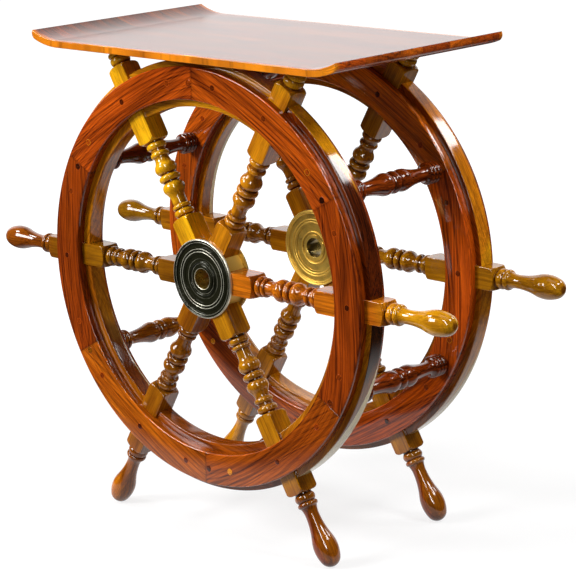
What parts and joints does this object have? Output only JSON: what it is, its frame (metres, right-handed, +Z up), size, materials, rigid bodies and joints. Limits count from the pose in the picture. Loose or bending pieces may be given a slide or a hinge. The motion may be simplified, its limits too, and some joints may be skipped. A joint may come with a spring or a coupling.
{
  "type": "end table",
  "caption": "Low end table whose base is a pair of handled ship's wheels joined by turned rails, under a rectangular top with upswept ends.",
  "frame": {"origin": "on the floor under the middle of the tabletop, bottom centre of the bounding box", "axes": "+X along the tabletop, +Y from the front wheel to the rear wheel, +Z up"},
  "size_m": [0.7626, 0.299, 0.6209],
  "materials": {
    "tabletop_wood": "gloss varnish",
    "spoke_wood": "gloss varnish",
    "felloe_wood": "gloss varnish",
    "filler_wood": "gloss varnish",
    "stretcher_wood": "gloss varnish",
    "pin_wood": "gloss varnish",
    "hub_brass": "turned, dark patina",
    "cover_brass": "turned"
  },
  "bodies": {
    "root": {"tabletop": "tabletop_wood", "front_spoke_right": "spoke_wood", "rear_spoke_right": "spoke_wood", "front_spoke_upper_right": "spoke_wood", "rear_spoke_upper_right": "spoke_wood", "front_spoke_upper_left": "spoke_wood", "rear_spoke_upper_left": "spoke_wood", "front_spoke_left": "spoke_wood", "rear_spoke_left": "spoke_wood", "front_spoke_lower_left": "spoke_wood", "rear_spoke_lower_left": "spoke_wood", "front_spoke_lower_right": "spoke_wood", "rear_spoke_lower_right": "spoke_wood", "front_outer_felloe_right": "felloe_wood", "front_outer_felloe_upper_right": "felloe_wood", "front_outer_felloe_upper_left": "felloe_wood", "front_outer_felloe_left": "felloe_wood", "front_outer_felloe_lower_left": "felloe_wood", "front_outer_felloe_lower_right": "felloe_wood", "front_inner_felloe_right": "felloe_wood", "front_inner_felloe_upper_right": "felloe_wood", "front_inner_felloe_upper_left": "felloe_wood", "front_inner_felloe_left": "felloe_wood", "front_inner_felloe_lower_left": "felloe_wood", "front_inner_felloe_lower_right": "felloe_wood", "rear_outer_felloe_right": "felloe_wood", "rear_outer_felloe_upper_right": "felloe_wood", "rear_outer_felloe_upper_left": "felloe_wood", "rear_outer_felloe_left": "felloe_wood", "rear_outer_felloe_lower_left": "felloe_wood", "rear_outer_felloe_lower_right": "felloe_wood", "rear_inner_felloe_right": "felloe_wood", "rear_inner_felloe_upper_right": "felloe_wood", "rear_inner_felloe_upper_left": "felloe_wood", "rear_inner_felloe_left": "felloe_wood", "rear_inner_felloe_lower_left": "felloe_wood", "rear_inner_felloe_lower_right": "felloe_wood", "front_filler_right_upper": "filler_wood", "front_filler_top": "filler_wood", "front_filler_left_upper": "filler_wood", "front_filler_left_lower": "filler_wood", "front_filler_bottom": "filler_wood", "front_filler_right_lower": "filler_wood", "rear_filler_right_upper": "filler_wood", "rear_filler_top": "filler_wood", "rear_filler_left_upper": "filler_wood", "rear_filler_left_lower": "filler_wood", "rear_filler_bottom": "filler_wood", "rear_filler_right_lower": "filler_wood", "stretcher_right_upper": "stretcher_wood", "stretcher_top": "stretcher_wood", "stretcher_left_upper": "stretcher_wood", "stretcher_left_lower": "stretcher_wood", "stretcher_bottom": "stretcher_wood", "stretcher_right_lower": "stretcher_wood", "front_hub": "hub_brass", "rear_hub": "hub_brass", "front_hub_cover": "cover_brass", "rear_hub_cover": "cover_brass", "rim_pins": "pin_wood"}
  },
  "joints": []
}
